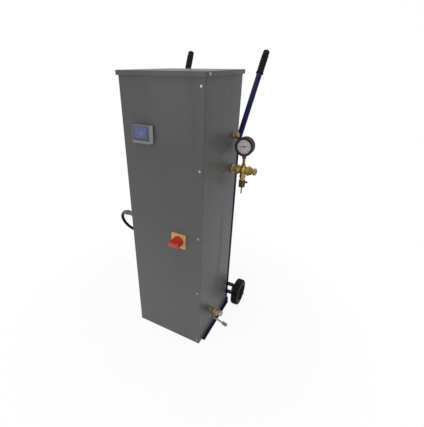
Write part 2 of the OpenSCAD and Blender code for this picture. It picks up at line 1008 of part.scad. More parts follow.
// Cranked lever with its spindle; it lies along the pipe when the valve is open
module inlet_valve_lever() {
    run = lever_length - lever_flat - sleeve_end;
    corner = lever_thick * tan(lever_slope / 2);
    tip = [lever_flat + run * cos(lever_slope), -run * sin(lever_slope)];
    color("lightgray")
        translate([spindle_x, inlet_y, lever_z]) {
            translate([0, lever_neck_width / 2, 0])
                rotate([90, 0, 0])
                    linear_extrude(lever_neck_width)
                        polygon([
                            [0, 0], [lever_flat, 0], tip,
                            tip + lever_thick * [sin(lever_slope), cos(lever_slope)],
                            [lever_flat + corner, lever_thick], [0, lever_thick],
                        ]);
            cylinder(d = lever_width, h = lever_thick);
            cylinder(d = lever_spindle, h = lever_drop - spindle_stop - turning_gap);
            translate([0, 0, -3])
                cylinder(d = (lever_spindle + 2) / cos(30), h = 3.5, $fn = 6);
        }
}

// Moulded sleeve on the lever's end
module inlet_lever_grip() {
    run = lever_length - lever_flat;
    color("#b39b2e")
        at_crank()
            difference() {
                translate([run - grip_box[0] / 2, 0, (lever_thick - grip_box[2]) / 2])
                    linear_extrude(grip_box[2])
                        rounded_rectangle(grip_box[0], grip_box[1], 5);
                translate([0, -lever_neck_width / 2 - push_clearance, -push_clearance])
                    cube([
                        run - sleeve_end + push_clearance,
                        lever_neck_width + 2 * push_clearance,
                        lever_thick + 2 * push_clearance,
                    ]);
            }
}

// ---------- cable ----------

// Cable gland on the left side: threaded stub, hexagon, clamping dome and a ribbed tail
module cable_gland(place) {
    hex = 7;
    color("#b9bbbd")
        translate([-side_x, place[1], place[2]])
            mirror([1, 0, 0]) {
                translate([-pipe_inside + 2, 0, 0])
                    rod_x(gland_thread, pipe_inside + 2);
                turned_hex_x(gland_flats, hex);
                rotate([0, 90, 0])
                    rotate_extrude() {
                        square([gland_flats / 2 - 2, 22]);
                        square([cable_diameter / 2 + 2, gland_length]);
                        for (z = [25 : 4 : gland_length - 2])
                            translate([cable_diameter / 2 + 1.4, z])
                                circle(r = 1.6);
                        translate([0, 22])
                            intersection() {
                                circle(r = gland_flats / 2 - 2);
                                square(gland_flats);
                            }
                    }
            }
}

function unit(v) = v / norm(v);
function route_tangent(i) =
    i == 0 || i == len(cable_route) - 1
        ? [i == 0 ? -1 : 1, 0, 0]
        : unit(cable_route[i + 1] - cable_route[i - 1]);
function route_ring(i) =
    let (along = route_tangent(i))
    let (across = unit(cross(along, [0, 1, 0])))
    let (over = cross(along, across))
    [for (k = [0 : cable_sides - 1])
        cable_route[i] + cable_diameter / 2 * (
            cos(k * 360 / cable_sides) * across + sin(k * 360 / cable_sides) * over
        )];

module link_cable() {
    rings = len(cable_route);
    points = [for (i = [0 : rings - 1]) each route_ring(i)];
    walls = [
        for (i = [0 : rings - 2], k = [0 : cable_sides - 1])
            let (next = (k + 1) % cable_sides)
            [
                i * cable_sides + k, i * cable_sides + next,
                (i + 1) * cable_sides + next, (i + 1) * cable_sides + k,
            ]
    ];
    start = [for (k = [cable_sides - 1 : -1 : 0]) k];
    stop = [for (k = [0 : cable_sides - 1]) (rings - 1) * cable_sides + k];
    color("#151515")
        polyhedron(points = points, faces = concat([start], walls, [stop]));
}

// ---------- nodes ----------

module left_rail() { color("midnightblue") on_side(-1) rail(); }
module right_rail() { color("midnightblue") on_side(1) rail(); }
module left_grip() { color("#1b1b1c") on_side(-1) grip(); }
module right_grip() { color("#1b1b1c") on_side(1) grip(); }
module middle_crossbar() { crossbar(middle_crossbar_z); }
module upper_crossbar() { crossbar(upper_crossbar_z); }
module left_wheel_bracket() { color("midnightblue") on_side(-1) wheel_bracket(); }
module right_wheel_bracket() { color("midnightblue") on_side(1) wheel_bracket(); }
module left_axle() { color("midnightblue") on_side(-1) axle(); }
module right_axle() { color("midnightblue") on_side(1) axle(); }
module upper_cable_gland() { cable_gland(gland_places[0]); }
module lower_cable_gland() { cable_gland(gland_places[1]); }

toe_plate();
left_rail();
right_rail();
left_grip();
right_grip();
lower_crossbar();
middle_crossbar();
upper_crossbar();
left_wheel_bracket();
right_wheel_bracket();
left_axle();
right_axle();
on_side(-1) axle_cap();  // left_axle_cap
on_side(1) axle_cap();  // right_axle_cap
on_side(-1) tyre();  // left_tyre
on_side(1) tyre();  // right_tyre
on_side(-1) hub();  // left_hub
on_side(1) hub();  // right_hub
front_left_panel();
back_right_panel();
lid();
controller_housing();
controller_screen();
isolator_plate();
isolator_knob();
outlet_locknut();
outlet_nipple();
outlet_tee();
outlet_spigot();
gauge_stem();
gauge_case();
gauge_dial();
gauge_needle();
gauge_glass();
relief_valve_body();
relief_valve_cap();
relief_valve_spindle();
blanking_plug();
inlet_locknut();
inlet_valve_body();
inlet_valve_lever();
inlet_lever_grip();
upper_cable_gland();
lower_cable_gland();
link_cable();
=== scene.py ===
from math import cos, pi, radians, sin

import bmesh
import bpy
from mathutils import Matrix, Vector
from mathutils.geometry import interpolate_bezier


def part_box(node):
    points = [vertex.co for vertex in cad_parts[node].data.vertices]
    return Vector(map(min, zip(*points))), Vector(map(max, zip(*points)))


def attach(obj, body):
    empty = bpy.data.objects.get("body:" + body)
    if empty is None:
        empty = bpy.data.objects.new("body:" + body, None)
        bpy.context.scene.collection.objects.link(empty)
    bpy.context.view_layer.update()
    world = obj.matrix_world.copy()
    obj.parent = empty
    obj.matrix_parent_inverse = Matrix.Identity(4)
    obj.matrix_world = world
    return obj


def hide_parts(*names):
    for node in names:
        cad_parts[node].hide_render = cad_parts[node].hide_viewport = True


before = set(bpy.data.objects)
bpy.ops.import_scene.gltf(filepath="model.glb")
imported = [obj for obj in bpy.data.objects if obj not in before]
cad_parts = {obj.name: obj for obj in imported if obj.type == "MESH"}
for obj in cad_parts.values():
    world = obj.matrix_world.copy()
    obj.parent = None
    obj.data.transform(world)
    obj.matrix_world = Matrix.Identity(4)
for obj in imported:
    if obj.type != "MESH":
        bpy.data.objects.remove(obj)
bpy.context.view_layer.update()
scene = bpy.context.scene


# camera
viewer = {
    "place": (0.5281, -0.9203, 1.0600),
    "turn": (62.32, 0, 29.14),  # degrees
    "lens": 24.88,
    "shift": (0.0571, 0.0086),
}


def setCamera():
    bpy.ops.object.camera_add(
        location=viewer["place"], rotation=[radians(a) for a in viewer["turn"]]
    )
    camera = bpy.context.object
    camera.data.lens = viewer["lens"]
    camera.data.shift_x, camera.data.shift_y = viewer["shift"]
    camera.data.dof.use_dof = False
    scene.camera = camera


# tools for materials
class Wire:  # a node's output; maths written on it adds Math nodes
    def __init__(self, finish, socket):
        self.finish = finish
        self.socket = socket

    def maths(self, operation, first, second=0.0):
        return self.finish.node("ShaderNodeMath", {"operation": operation}, {0: first, 1: second})

    def __add__(self, other):
        return self.maths("ADD", self, other)

    def __sub__(self, other):
        return self.maths("SUBTRACT", self, other)

    def __rsub__(self, other):
        return self.maths("SUBTRACT", other, self)

    def __mul__(self, other):
        return self.maths("MULTIPLY", self, other)

    def __pow__(self, other):
        return self.maths("POWER", self, other)

    def __abs__(self):
        return self.maths("ABSOLUTE", self)

    def sine(self):
        return self.maths("SINE", self)

    def most(self, other):
        return self.maths("MAXIMUM", self, other)

    def rise(self, low, high):  # 0 up to low, 1 from high on, smooth between
        return self.finish.node(
            "ShaderNodeMapRange", {"interpolation_type": "SMOOTHSTEP"}, {0: self, 1: low, 2: high}
        )

    __radd__ = __add__


class Finish:  # one procedural material
    def __init__(self, name, **fixed):
        self.material = bpy.data.materials.new(name)
        self.material.use_nodes = True
        self.tree = self.material.node_tree
        self.shader = self.tree.nodes["Principled BSDF"]
        for socket, value in fixed.items():
            self.shader.inputs[socket.replace("_", " ")].default_value = value
        self.spot = self.node("ShaderNodeTexCoord", output="Object")

    def node(self, kind, settings=None, sockets=None, output=0):
        made = self.tree.nodes.new(kind)
        for key, value in (settings or {}).items():
            setattr(made, key, value)
        for key, value in (sockets or {}).items():
            if isinstance(value, Wire):
                self.tree.links.new(value.socket, made.inputs[key])
            else:
                made.inputs[key].default_value = value
        return Wire(self, made.outputs[output])

    def axis(self, letter):
        return self.node("ShaderNodeSeparateXYZ", None, {0: self.spot}, letter)

    def noise(self, scale, detail=3.0, stretch=(1, 1, 1)):
        spot = self.spot
        if stretch != (1, 1, 1):
            spot = self.node("ShaderNodeMapping", None, {"Vector": spot, "Scale": stretch})
        return self.node(
            "ShaderNodeTexNoise", None, {"Vector": spot, "Scale": scale, "Detail": detail}, "Fac"
        )

    def mix(self, amount, first, second):
        return self.node(
            "ShaderNodeMix",
            {"data_type": "RGBA"},
            {0: amount, 6: tint(first), 7: tint(second)},
            2,
        )

    def bump(self, height, depth):
        return self.node("ShaderNodeBump", None, {"Height": height, "Distance": depth})

    def wire(self, **links):
        for socket, value in links.items():
            self.tree.links.new(value.socket, self.shader.inputs[socket.replace("_", " ")])
        return self.material


def tint(colour):  # a plain colour gets its fourth number
    return colour if isinstance(colour, Wire) else (*colour, 1.0)


# floor and light
stageLook = {
    "floorSide": 60, "floorWhite": 0.9, "ownWhite": 0.91, "shadowFrom": 0.5, "shadowReach": 0.9,
    "worldGlow": 0.52,
}


def setStage():
    bpy.ops.mesh.primitive_plane_add(size=stageLook["floorSide"])
    floor = bpy.context.object
    floor.name = "studioFloor"
    white = Finish("studioWhite")
    tree = white.tree
    diffuse = tree.nodes.new("ShaderNodeBsdfDiffuse")
    diffuse.inputs[0].default_value = (*[stageLook["floorWhite"]] * 3, 1)
    glow = tree.nodes.new("ShaderNodeEmission")
    blend = tree.nodes.new("ShaderNodeMixShader")
    seen = white.node("ShaderNodeLightPath", output="Is Camera Ray")
    shine = white.node("ShaderNodeLightPath", output="Is Glossy Ray")
    through = white.node("ShaderNodeLightPath", output="Is Transmission Ray")
    x, y = white.axis("X"), white.axis("Y")
    away = ((x * x + y * y) ** 0.5).rise(stageLook["shadowFrom"], stageLook["shadowReach"])
    own = stageLook["ownWhite"]
    share = (seen + shine + through) * (away * (1 - own) + own)
    tree.links.new(share.socket, blend.inputs[0])
    tree.links.new(diffuse.outputs[0], blend.inputs[1])
    tree.links.new(glow.outputs[0], blend.inputs[2])
    tree.links.new(blend.outputs[0], tree.nodes["Material Output"].inputs[0])
    floor.data.materials.append(white.material)

    world = bpy.data.worlds.new("studioSky")
    scene.world = world
    world.use_nodes = True
    nodes, links = world.node_tree.nodes, world.node_tree.links
    sky = nodes["Background"]
    sky.inputs[0].default_value = (1, 1, 1, 1)
    path = nodes.new("ShaderNodeLightPath")
    strength = nodes.new("ShaderNodeMapRange")
    strength.inputs[3].default_value = stageLook["worldGlow"]
    strength.inputs[4].default_value = 1
    summed = path.outputs["Is Camera Ray"]
    for ray in ("Is Glossy Ray", "Is Transmission Ray"):
        add = nodes.new("ShaderNodeMath")
        links.new(summed, add.inputs[0])
        links.new(path.outputs[ray], add.inputs[1])
        summed = add.outputs[0]
    links.new(summed, strength.inputs[0])
    links.new(strength.outputs[0], sky.inputs[1])


lighting = {
    "aim": (0, 0, 0.4),
    "lamps": [  # name, place, side in metres, watts
        ("keyLamp", (-0.7, -2.3, 1.0), 1.6, 19.5),
        ("topLamp", (0.0, -0.2, 3.0), 2.0, 32),
    ],
}


def setLamps():
    for name, place, side, watts in lighting["lamps"]:
        bpy.ops.object.light_add(type="AREA", location=place)
        lamp = bpy.context.object
        lamp.name = name
        lamp.data.shape = "SQUARE"
        lamp.data.size = side
        lamp.data.energy = watts
        aim = Vector(lighting["aim"]) - Vector(place)
        lamp.rotation_euler = aim.to_track_quat("-Z", "Y").to_euler()


scene.view_settings.view_transform = "Standard"
setCamera()
setStage()
setLamps()
print("stage set")


# finishes: a function for each kind of surface
def cabinetPaint():
    paint = {
        "upper": (0.060, 0.061, 0.060), "lower": (0.100, 0.101, 0.099), "cloud": (0.1, 0.101, 0.1),
        "dusty": (0.16, 0.158, 0.152), "bare": (0.28, 0.28, 0.27), "rough": 0.44,
        "coat": 0.07, "peel": 0.0002,
        "dustTop": 0.16, "fade": (0.1, 1.1),  # heights; the colour is paler lower down and darker towards the top
        "chipsAcross": (0.143, 0.15), "chipsBack": (0.138, 0.145),  # from the middle out
    }
    f = Finish("cabinetPaint", Specular_IOR_Level=0.18, Coat_Roughness=0.1)
    x, y, z = f.axis("X"), f.axis("Y"), f.axis("Z")
    cloud = f.noise(5, 4).rise(0.3, 0.7)
    grain = f.noise(320, 2)
    smear = f.noise(14, 4, (1, 1, 0.16)).rise(0.5, 0.75)
    low = (paint["dustTop"] - z).rise(0.0, paint["dustTop"])
    corner = abs(x).rise(*paint["chipsAcross"]) * abs(y).rise(*paint["chipsBack"])
    chips = corner * f.noise(120, 3).rise(0.68, 0.72)
    plain = f.mix(z.rise(*paint["fade"]), paint["lower"], paint["upper"])
    base = f.mix(cloud * 0.2 + grain * 0.1, plain, paint["cloud"])
    dusted = f.mix(low * f.noise(24, 4).rise(0.35, 0.8) * 0.35, base, paint["dusty"])
    colour = f.mix(chips, dusted, paint["bare"])
    rough = paint["rough"] + smear * 0.1 + low * 0.1 + grain * 0.04
    peel = f.noise(900, 2) * 0.5 + f.noise(60, 2) * 0.4
    return f.wire(
        Base_Color=colour, Roughness=rough, Coat_Weight=paint["coat"] - smear * 0.04 - low * 0.02,
        Normal=f.bump(peel, paint["peel"]),
    )


def framePaint():
    paint = {
        "colour": (0.004, 0.006, 0.042), "pale": (0.008, 0.012, 0.068), "bare": (0.10, 0.10, 0.11),
        "rough": 0.34, "coat": 0.06, "peel": 0.0003, "scuffTop": 0.03,
    }
    f = Finish("framePaint", Specular_IOR_Level=0.1, Coat_Roughness=0.15)
    z = f.axis("Z")
    cloud = f.noise(22, 4).rise(0.3, 0.75)
    scuff = f.noise(70, 4, (1, 1, 0.3)).rise(0.66, 0.74)
    low = (paint["scuffTop"] - z).rise(0.0, paint["scuffTop"])
    base = f.mix(cloud * 0.4, paint["colour"], paint["pale"])
    colour = f.mix(scuff * (0.1 + low * 0.6), base, paint["bare"])
    rough = paint["rough"] + scuff * 0.3 + f.noise(240, 2) * 0.12
    return f.wire(
        Base_Color=colour, Roughness=rough, Coat_Weight=paint["coat"] - scuff * 0.04,
        Normal=f.bump(f.noise(420, 2), paint["peel"]),
    )


def rubber(name, colour, dusty, grain, rough=0.6, depth=0.0005):
    f = Finish(name, Specular_IOR_Level=0.12)
    worn = f.noise(40, 4).rise(0.4, 0.75)
    speck = f.noise(grain, 2)
    tone = f.mix(worn * 0.45 + speck * 0.1, colour, dusty)
    return f.wire(
        Base_Color=tone, Roughness=rough + worn * 0.2,
        Normal=f.bump(speck + f.noise(180, 2) * 0.6, depth),
    )


def tyreRubber():
    look = {
        "clean": (0.006, 0.006, 0.006), "dusty": (0.03, 0.029, 0.027), "rough": 0.62, "grain": 0.0005,
        "tread": (0.054, 0.0625), "rings": 2400,  # radii where the tread starts, radians per metre
    }
    f = Finish("tyreRubber", Specular_IOR_Level=0.14)
    low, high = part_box("right_tyre")
    axle = (low + high) / 2
    y, z = f.axis("Y") - axle.y, f.axis("Z") - axle.z
    out = (y * y + z * z) ** 0.5
    tread = out.rise(*look["tread"])
    worn = f.noise(55, 4).rise(0.35, 0.75)
    rings = ((out * look["rings"]).sine() * 0.5 + 0.5) * (1 - tread)
    tone = f.mix(tread * worn * 0.6 + worn * 0.12, look["clean"], look["dusty"])
    return f.wire(
        Base_Color=tone, Roughness=look["rough"] + tread * 0.2,
        Normal=f.bump(rings * 0.3 + f.noise(700, 2) * 0.6, look["grain"]),
    )


def plastic(name, colour, worn, rough, grain=1200, shine=0.5, depth=0.00012):
    f = Finish(name, Specular_IOR_Level=shine)
    patch = f.noise(60, 2).rise(0.4, 0.75)
    speck = f.noise(grain, 2)
    tone = f.mix(patch * 0.4 + speck * 0.1, colour, worn)
    return f.wire(
        Base_Color=tone, Roughness=rough + patch * 0.12 + speck * 0.05,
        Normal=f.bump(speck, depth),
    )


def metal(name, bright, dull, rough, grain, depth, stretch=(1, 1, 1)):
    stainShade = 0.4  # of the dull tone
    f = Finish(name)
    patch = f.noise(90, 5).rise(0.36, 0.7)
    speck = f.noise(grain, 3, stretch)
    stain = f.noise(210, 4).rise(0.6, 0.78)
    clean = f.mix(patch * 0.7 + speck * 0.15, bright, dull)
    tone = f.mix(stain * 0.55, clean, [c * stainShade for c in dull])
    return f.wire(
        Base_Color=tone, Metallic=1 - stain * 0.3, Roughness=rough + patch * 0.16 + stain * 0.15,
        Normal=f.bump(speck, depth),
    )


def dialFace():
    look = {"white": (0.78, 0.67, 0.71), "aged": (0.66, 0.56, 0.60), "rough": 0.4, "grain": 0.0001}
    f = Finish("dialFace")
    patch = f.noise(70, 4)
    tone = f.mix(patch.rise(0.3, 0.8) * 0.5, look["white"], look["aged"])
    return f.wire(
        Base_Color=tone, Roughness=look["rough"] + patch * 0.1,
        Normal=f.bump(f.noise(900, 2), look["grain"]),
    )


def caseGrey():  # light moulded case whose light grey sides are partly its own colour and partly painted highlight; its face and top are darker as painted shade, and a bar along the foot of the face is paler than the face as a painted reflection
    look = {
        # body: partly painted highlight; face and top: painted shade; bar: painted reflection
        "body": (0.53, 0.58, 0.66), "worn": (0.43, 0.47, 0.54), "face": (0.070, 0.072, 0.084),
        "bar": (0.14, 0.14, 0.145), "top": (0.20, 0.22, 0.25), "rough": 0.4, "grain": 0.0003,
        "reflectionTop": (0.006, 0.009), "shadedFaceDepth": (0.0003, 0.0008), "shadedTopDepth": (0.003, 0.0005),  # fades
    }
    low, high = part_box("controller_housing")
    f = Finish("caseGrey")
    y, z = f.axis("Y"), f.axis("Z")
    patch, speck = f.noise(60, 4).rise(0.4, 0.75), f.noise(700, 2)
    body = f.mix(patch * 0.4 + speck * 0.1, look["body"], look["worn"])
    # painted shade on the face, with a paler bar along its foot as a painted reflection
    face = f.mix((z - low.z).rise(*look["reflectionTop"]), look["bar"], look["face"])
    shadedFace = y.rise(*[low.y + d for d in look["shadedFaceDepth"]])
    # painted shade: the top is darker than the sides
    shell = f.mix(z.rise(*[high.z - d for d in look["shadedTopDepth"]]), body, look["top"])
    return f.wire(
        Base_Color=f.mix(shadedFace, face, shell), Roughness=look["rough"] + patch * 0.12 + speck * 0.05,
        Normal=f.bump(speck, look["grain"]),
    )


def screenGlass():  # blue display behind clear plastic, with a dark printed edge all round, and wider dark bands down the right side and along the foot as painted shade
    look = {
        "blue": (0.050, 0.062, 0.172), "pale": (0.074, 0.086, 0.228), "edge": (0.020, 0.030, 0.050),
        "shadeStrip": 0.0100, "foot": 0.0060, "rim": 0.0015, "fade": 0.0004, "rimFade": 0.0003,  # rim and rimFade: the printed edge; strip, foot and fade: painted shade
        "lines": 9000, "glowHalf": 0.02, "rough": 0.25, "coat": 0.25, "grain": 0.00005,
    }
    low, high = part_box("controller_screen")
    centre, half = (low + high) / 2, (high - low) / 2
    f = Finish("screenGlass", Specular_IOR_Level=0.3, Coat_Roughness=0.06)
    x, z = f.axis("X") - centre.x, f.axis("Z") - centre.z
    # painted shade: dark bands down the right side and along the foot
    shadeStrip = x.rise(half.x - look["shadeStrip"] - look["fade"], half.x - look["shadeStrip"])
    foot = (z * -1).rise(half.z - look["foot"] - look["fade"], half.z - look["foot"])
    rim = abs(x).rise(half.x - look["rim"] - look["rimFade"], half.x - look["rim"])
    top = z.rise(half.z - look["rim"] - look["rimFade"], half.z - look["rim"])
    printAndShade = shadeStrip.most(foot).most(rim.most(top))
    patch = f.noise(45, 3)
    upward = z.rise(-look["glowHalf"], look["glowHalf"])
    glow = f.mix(patch.rise(0.3, 0.8) * 0.5 + upward * 0.4, look["blue"], look["pale"])
    lines = (z * look["lines"]).sine() * 0.5 + 0.5
    lined = f.mix(lines * 0.1, glow, look["edge"])
    return f.wire(
        Base_Color=f.mix(printAndShade, lined, look["edge"]),
        Roughness=look["rough"] + patch * 0.1, Coat_Weight=look["coat"] + patch * 0.1,
        Normal=f.bump(f.noise(500, 2), look["grain"]),
    )


def gaugeWindow():
    look = {
        "clear": (0.9, 0.92, 0.93), "smeared": (0.8, 0.8, 0.78), "cover": 0.1, "rough": 0.04,
        "wave": 0.0001,
    }
    f = Finish("gaugeWindow", IOR=1.45)
    smear = f.noise(80, 4).rise(0.5, 0.8)
    return f.wire(
        Base_Color=f.mix(smear, look["clear"], look["smeared"]), Alpha=look["cover"] + smear * 0.06,
        Roughness=look["rough"] + smear * 0.1, Normal=f.bump(f.noise(60, 2), look["wave"]),
    )


rubbers = {  # colour, dusty colour, grain
    "gripRubber": ((0.004, 0.004, 0.004), (0.014, 0.014, 0.014), 900),
    "cableSheath": ((0.005, 0.005, 0.006), (0.02, 0.02, 0.021), 500),
    "gasketRubber": ((0.012, 0.012, 0.012), (0.03, 0.03, 0.03), 700),
}
plastics = {  # colour, worn colour, roughness, grain, shine
    "capPlastic": ((0.010, 0.010, 0.010), (0.03, 0.03, 0.03), 0.4, 1200, 0.16),
    "hubPlastic": ((0.012, 0.012, 0.013), (0.03, 0.03, 0.03), 0.45, 1200, 0.16),
    "glandPlastic": ((0.092, 0.096, 0.10), (0.07, 0.07, 0.07), 0.5),
    "knobRed": ((0.43, 0.030, 0.016), (0.38, 0.026, 0.014), 0.36),
    # knobGroove: knob red darkened as painted shade of an engraved line
    "knobGroove": ((0.30, 0.014, 0.008), (0.24, 0.012, 0.008), 0.45),
    "plateYellow": ((0.58, 0.31, 0.11), (0.54, 0.282, 0.098), 0.4),
    "keyGrey": ((0.16, 0.17, 0.19), (0.12, 0.13, 0.15), 0.5, 900),
    "digitBlue": ((0.13, 0.15, 0.33), (0.11, 0.13, 0.29), 0.4, 1500),
    "gaugeBlack": ((0.038, 0.028, 0.031), (0.058, 0.044, 0.048), 0.52, 700, 0.16),
    "needleBlack": ((0.010, 0.010, 0.010), (0.03, 0.03, 0.03), 0.4, 1500),
    # capOlive: a dark cap whose olive tone is painted shade of brass
    "capOlive": ((0.082, 0.072, 0.036), (0.12, 0.105, 0.052), 0.44, 1200, 0.16),
    # leverSleeve: dark olive, painted shade of brass
    "leverSleeve": ((0.18, 0.165, 0.07), (0.13, 0.12, 0.05), 0.42),
}
metals = {  # bright colour, dull colour, roughness, grain, the grain's depth and stretch
    "brassCast": ((0.50, 0.345, 0.105), (0.33, 0.22, 0.06), 0.36, 700, 0.0006),
    "brassTurned": ((0.33, 0.245, 0.09), (0.22, 0.16, 0.055), 0.38, 900, 0.0002, (8, 1, 1)),
    "brassWorn": ((0.46, 0.37, 0.22), (0.33, 0.26, 0.15), 0.42, 900, 0.0002),
    "brassPale": ((0.40, 0.37, 0.24), (0.29, 0.265, 0.17), 0.42, 900, 0.0002),
    "brassPlated": ((0.52, 0.50, 0.45), (0.42, 0.40, 0.35), 0.42, 900, 0.0002),
    # brassDull: brass darkened as painted shade for the inlet valve
    "brassDull": ((0.24, 0.21, 0.145), (0.16, 0.138, 0.095), 0.5, 700, 0.0006),
    "brassPlug": ((0.38, 0.28, 0.15), (0.26, 0.185, 0.10), 0.42, 700, 0.0004),
    "brassDark": ((0.16, 0.13, 0.06), (0.09, 0.075, 0.035), 0.4, 700, 0.0003),
    "leverSteel": ((0.33, 0.32, 0.27), (0.25, 0.24, 0.20), 0.38, 800, 0.0002),
    "screwZinc": ((0.40, 0.40, 0.40), (0.30, 0.30, 0.30), 0.42, 900, 0.0001),
}
finishes = {
    "cabinetPaint": cabinetPaint(), "framePaint": framePaint(), "tyreRubber": tyreRubber(),
    "caseGrey": caseGrey(), "screenGlass": screenGlass(), "dialFace": dialFace(),
    "gaugeWindow": gaugeWindow(),
}
for make, kinds in ((rubber, rubbers), (plastic, plastics), (metal, metals)):
    for name, look in kinds.items():
        finishes[name] = make(name, *look)

nodeFinish = {
    "framePaint": [
        "toe_plate", "left_rail", "right_rail", "lower_crossbar", "middle_crossbar", "upper_crossbar",
        "left_wheel_bracket", "right_wheel_bracket", "left_axle", "right_axle",
    ],
    "gripRubber": ["left_grip", "right_grip"],
    "capPlastic": ["left_axle_cap", "right_axle_cap"],
    "tyreRubber": ["left_tyre", "right_tyre"],
    "hubPlastic": ["left_hub", "right_hub"],
    "cabinetPaint": ["front_left_panel", "back_right_panel", "lid"],
    "caseGrey": ["controller_housing"],
    "screenGlass": ["controller_screen"],
    "plateYellow": ["isolator_plate"],
    "knobRed": ["isolator_knob"],
    "brassTurned": ["outlet_spigot"],
    "brassWorn": ["outlet_locknut", "outlet_nipple"],
    "brassPale": ["relief_valve_body"],
    "brassCast": ["outlet_tee"],
    # the inlet valve's brass is darkened as painted shade
    "brassDull": ["inlet_locknut", "inlet_valve_body"],
    "brassPlug": ["blanking_plug"],
    "brassDark": ["gauge_stem", "relief_valve_spindle"],
    "gaugeBlack": ["gauge_case"],
    "dialFace": ["gauge_dial"],
    "needleBlack": ["gauge_needle"],
    "gaugeWindow": ["gauge_glass"],
    # the relief cap's olive tone is painted shade
    "capOlive": ["relief_valve_cap"],
    "leverSteel": ["inlet_valve_lever"],
    # the lever sleeve's dark olive is painted shade
    "leverSleeve": ["inlet_lever_grip"],
    "glandPlastic": ["upper_cable_gland", "lower_cable_gland"],
    "cableSheath": ["link_cable"],
}
for finish, names in nodeFinish.items():
    for name in names:
        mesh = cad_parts[name].data
        mesh.materials.clear()
        mesh.materials.append(finishes[finish])
print("finishes laid on", sum(len(names) for names in nodeFinish.values()), "nodes")


# tools for making pieces
mergeGap = 0.000005  # closer points become one
flat = 0.9  # least share of a normal along an axis
bevelUnit = 0.001  # a curve point's radius counts in these


def deselect():
    if bpy.context.object and bpy.context.object.mode != "OBJECT":
        bpy.ops.object.mode_set(mode="OBJECT")
    bpy.ops.object.select_all(action="DESELECT")


def edit(piece, test=None, kind="FACE"):  # edit mode, with the faces or edges that pass the test selected
    deselect()
    piece.select_set(True)
    bpy.context.view_layer.objects.active = piece
    bpy.ops.object.mode_set(mode="EDIT")
    bpy.ops.mesh.select_mode(type=kind)
    bpy.ops.mesh.select_all(action="DESELECT")
    if test:
        form = bmesh.from_edit_mesh(piece.data)
        for part in form.faces if kind == "FACE" else form.edges:
            part.select_set(bool(test(part)))
        form.select_flush_mode()
        bmesh.update_edit_mesh(piece.data)


def middle(part):  # of a face or an edge
    return sum((v.co for v in part.verts), Vector()) / len(part.verts)


def roundEdges(piece, test, radius, steps):
    edit(piece, test, "EDGE")
    bpy.ops.mesh.bevel(offset=radius, segments=steps, affect="EDGES")
    bpy.ops.object.mode_set(mode="OBJECT")


def crown(piece, test, rim, lift):  # insets the faces that pass the test, and moves them out
    edit(piece, test)
    bpy.ops.mesh.inset(thickness=rim)
    bpy.ops.transform.translate(value=lift)
    bpy.ops.object.mode_set(mode="OBJECT")


def modify(piece, kind, **settings):  # adds a modifier and applies it
    deselect()
    bpy.context.view_layer.objects.active = piece
    modifier = piece.modifiers.new(kind.title(), kind)
    for key, value in settings.items():
        setattr(modifier, key, value)
    bpy.ops.object.modifier_apply(modifier=modifier.name)


def complete(piece, name, finish, body="heater", smooth=35):  # the last step of each new piece
    deselect()
    piece.name = piece.data.name = name
    piece.select_set(True)
    bpy.context.view_layer.objects.active = piece
    bpy.ops.object.transform_apply(location=True, rotation=True, scale=True)
    edit(piece)
    bpy.ops.mesh.select_all(action="SELECT")
    bpy.ops.mesh.remove_doubles(threshold=mergeGap)
    bpy.ops.mesh.normals_make_consistent(inside=False)
    bpy.ops.object.mode_set(mode="OBJECT")
    bpy.ops.object.shade_smooth_by_angle(angle=radians(smooth))
    piece.data.materials.clear()
    piece.data.materials.append(finishes[finish])
    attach(piece, body)
    return piece


def facing(direction):  # turns +Z to a direction
    return Vector(direction).to_track_quat("Z", "Y").to_matrix().to_4x4()


def copyOf(piece):
    made = piece.copy()
    made.data = piece.data.copy()
    scene.collection.objects.link(made)
    return made


def copyNode(name):  # merged copy of a node, left in edit mode with all of it selected
    piece = copyOf(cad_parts[name])
    edit(piece)
    bpy.ops.mesh.select_all(action="SELECT")
    bpy.ops.mesh.remove_doubles(threshold=mergeGap)
    return piece


def fasten(master, name, place, direction, spinBy):  # a copy of a screw or bolt, turned and put in
    piece = copyOf(master)
    turn = facing(direction) @ Matrix.Rotation(spinBy, 4, "Z")
    piece.data.transform(Matrix.Translation(place) @ turn)
    complete(piece, name, "screwZinc")


def discard(piece):
    bpy.data.objects.remove(piece)


def addRod(radius, depth, place=(0, 0, 0), sides=48):
    deselect()
    bpy.ops.mesh.primitive_cylinder_add(vertices=sides, radius=radius, depth=depth, location=place)
    return bpy.context.object


def addBlock(size, place=(0, 0, 0)):
    deselect()
    bpy.ops.mesh.primitive_cube_add(size=1, location=place, scale=size)
    bpy.ops.object.transform_apply(location=False, rotation=False, scale=True)
    return bpy.context.object


def cut(piece, tool):
    modify(piece, "BOOLEAN", operation="DIFFERENCE", object=tool, solver="EXACT")
    discard(tool)


def joinTo(piece, *others):
    deselect()
    for other in others:
        other.select_set(True)
    piece.select_set(True)
    bpy.context.view_layer.objects.active = piece
    bpy.ops.object.join()
    bpy.ops.object.transform_apply(location=True, rotation=True, scale=True)


def sweep(line, radii, roundness=3):  # a closed round form along a line of points
    deselect()
    shape = bpy.data.curves.new("sweep", "CURVE")
    shape.dimensions = "3D"
    spline = shape.splines.new("POLY")
    spline.points.add(len(line) - 1)
    for point, place, radius in zip(spline.points, line, radii):
        point.co = (*place, 1)
        point.radius = radius / bevelUnit
    shape.bevel_depth = bevelUnit
    shape.bevel_resolution = roundness
    shape.use_fill_caps = True
    piece = bpy.data.objects.new("sweep", shape)
    scene.collection.objects.link(piece)
    piece.select_set(True)
    bpy.context.view_layer.objects.active = piece
    bpy.ops.object.convert(target="MESH")
    return bpy.context.object


